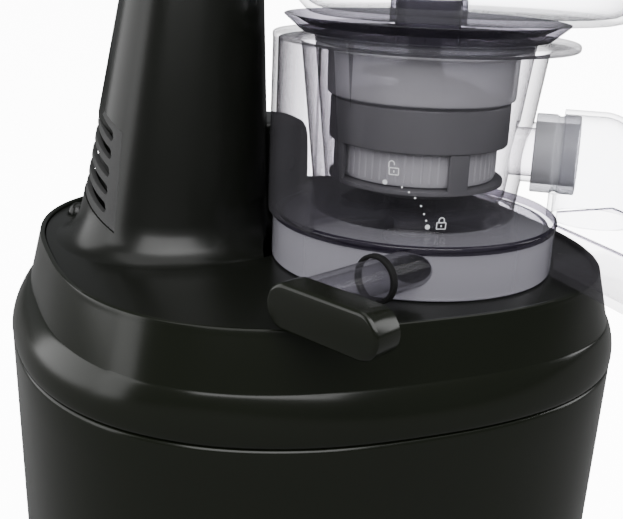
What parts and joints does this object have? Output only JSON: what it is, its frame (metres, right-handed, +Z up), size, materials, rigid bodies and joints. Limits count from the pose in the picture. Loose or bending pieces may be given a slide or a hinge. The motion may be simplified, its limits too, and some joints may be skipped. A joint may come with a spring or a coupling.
{
  "type": "vertical slow juicer",
  "caption": "Kitchen juicer with a wide base, motor tower, geared auger in a clear bowl with strainer, pouring lever, pulp chute, lid, hopper and pusher.",
  "frame": {"origin": "centre of the bounding box's bottom face, on the surface that the feet stand on", "axes": "+Z up along the bowl's axis, -Y towards the user, +X to the user's right"},
  "size_m": [0.2804, 0.3012, 0.3703],
  "materials": {
    "base_gloss": "high gloss moulded plastic, green-black",
    "tower_gloss": "satin gloss moulded plastic, neutral black",
    "matte_black": "fine spark-eroded matte plastic",
    "black_rubber": "soft matte rubber",
    "steel": "drawn and turned steel",
    "nylon": "moulded gear nylon",
    "bronze": "sintered bronze",
    "circuit_board": "glass-epoxy board",
    "smoke_clear": "polished smoke-tinted clear plastic",
    "clear": "polished clear plastic",
    "frosted": "frosted translucent grey plastic",
    "dark_band": "satin moulded grey plastic",
    "silicone": "translucent pale silicone"
  },
  "bodies": {
    "base": {"base_skirt": "base_gloss", "shoulder_cover": "base_gloss", "tower_housing": "tower_gloss", "vent_grille": "matte_black", "tower_cap": "tower_gloss", "base_plate": "matte_black", "motor_can": "steel", "gearbox_tray": "matte_black", "gearbox_lid": "matte_black", "spindle_bush": "bronze", "spindle_seal": "silicone", "control_board": "circuit_board", "switch_bezel": "matte_black", "cord_gland": "black_rubber", "foot_1": "black_rubber", "foot_2": "black_rubber", "foot_3": "black_rubber", "foot_4": "black_rubber", "base_screw_1": "steel", "base_screw_2": "steel", "base_screw_3": "steel", "base_screw_4": "steel"},
    "rotor": {"motor_rotor": "steel", "motor_fan": "nylon"},
    "first_gear": {"first_gear": "nylon"},
    "second_gear": {"second_gear": "nylon"},
    "spindle": {"drive_spindle": "steel"},
    "rocker": {"rocker_switch": "matte_black"},
    "button": {"interlock_button": "matte_black"},
    "bowl_set": {"bowl": "smoke_clear", "bowl_floor": "smoke_clear", "bowl_seal": "silicone", "strainer": "frosted", "spout_ring": "black_rubber", "pulp_sleeve": "silicone", "pulp_hood": "clear", "pulp_chute": "smoke_clear"},
    "lever": {"drip_lever": "base_gloss"},
    "auger": {"auger": "dark_band"},
    "wiper": {"wiper_frame": "dark_band", "wiper_blade_1": "silicone", "wiper_blade_2": "silicone"},
    "idler": {"wiper_idler": "nylon"},
    "lid": {"lid": "smoke_clear", "lid_gasket": "silicone", "hopper_tray": "clear"},
    "pusher": {"pusher": "frosted", "pusher_cap": "base_gloss"}
  },
  "joints": [
    {"name": "motor_spin", "type": "hinge", "parent": "base", "child": "rotor", "pos_m": [-0.06144, 0.03386, 0.1], "axis": [0, 0, 1], "continuous": true},
    {"name": "first_gear_spin", "type": "hinge", "parent": "base", "child": "first_gear", "pos_m": [-0.03142, 0.01399, 0.125], "axis": [0, 0, 1], "continuous": true},
    {"name": "second_gear_spin", "type": "hinge", "parent": "base", "child": "second_gear", "pos_m": [-0.00206, -0.00543, 0.13], "axis": [0, 0, 1], "continuous": true},
    {"name": "spindle_spin", "type": "hinge", "parent": "base", "child": "spindle", "pos_m": [0.0315, -0.02765, 0.15], "axis": [0, 0, 1], "continuous": true},
    {"name": "rocker_tilt", "type": "hinge", "parent": "base", "child": "rocker", "pos_m": [0.02, 0.14265, 0.046], "axis": [1, 0, 0], "range_deg": [0, 12]},
    {"name": "button_press", "type": "slide", "parent": "base", "child": "button", "axis": [-0.5807, 0.8141, 0], "range_m": [0, 0.0025], "stiffness_N_per_m": 200},
    {"name": "bowl_lift", "type": "slide", "parent": "base", "child": "bowl_set", "axis": [0, 0, 1], "range_m": [0, 0.12]},
    {"name": "lever_turn", "type": "hinge", "parent": "bowl_set", "child": "lever", "pos_m": [-0.00804, -0.08652, 0.1694], "axis": [-0.9143, -0.4051, 0], "range_deg": [0, 90]},
    {"name": "auger_spin", "type": "hinge", "parent": "bowl_set", "child": "auger", "pos_m": [0.0315, -0.02765, 0.216], "axis": [0, 0, 1], "continuous": true},
    {"name": "wiper_spin", "type": "hinge", "parent": "bowl_set", "child": "wiper", "pos_m": [0.0315, -0.02765, 0.206], "axis": [0, 0, 1], "continuous": true},
    {"name": "idler_spin", "type": "hinge", "parent": "bowl_set", "child": "idler", "pos_m": [0.0315, -0.01265, 0.191], "axis": [0, 0, 1], "continuous": true},
    {"name": "lid_twist", "type": "hinge", "parent": "bowl_set", "child": "lid", "pos_m": [0.0315, -0.02765, 0.256], "axis": [0, 0, 1], "range_deg": [0, 25]},
    {"name": "pusher_lift", "type": "slide", "parent": "lid", "child": "pusher", "axis": [0, 0, 1], "range_m": [0, 0.08]}
  ],
  "couplings": [
    {"joint": "first_gear_spin", "follows": "motor_spin", "ratio": -0.26316},
    {"joint": "second_gear_spin", "follows": "motor_spin", "ratio": 0.077399},
    {"joint": "spindle_spin", "follows": "motor_spin", "ratio": -0.027317},
    {"joint": "auger_spin", "follows": "motor_spin", "ratio": -0.027317},
    {"joint": "wiper_spin", "follows": "motor_spin", "ratio": 0.013659},
    {"joint": "idler_spin", "follows": "motor_spin", "ratio": 0.054635}
  ]
}
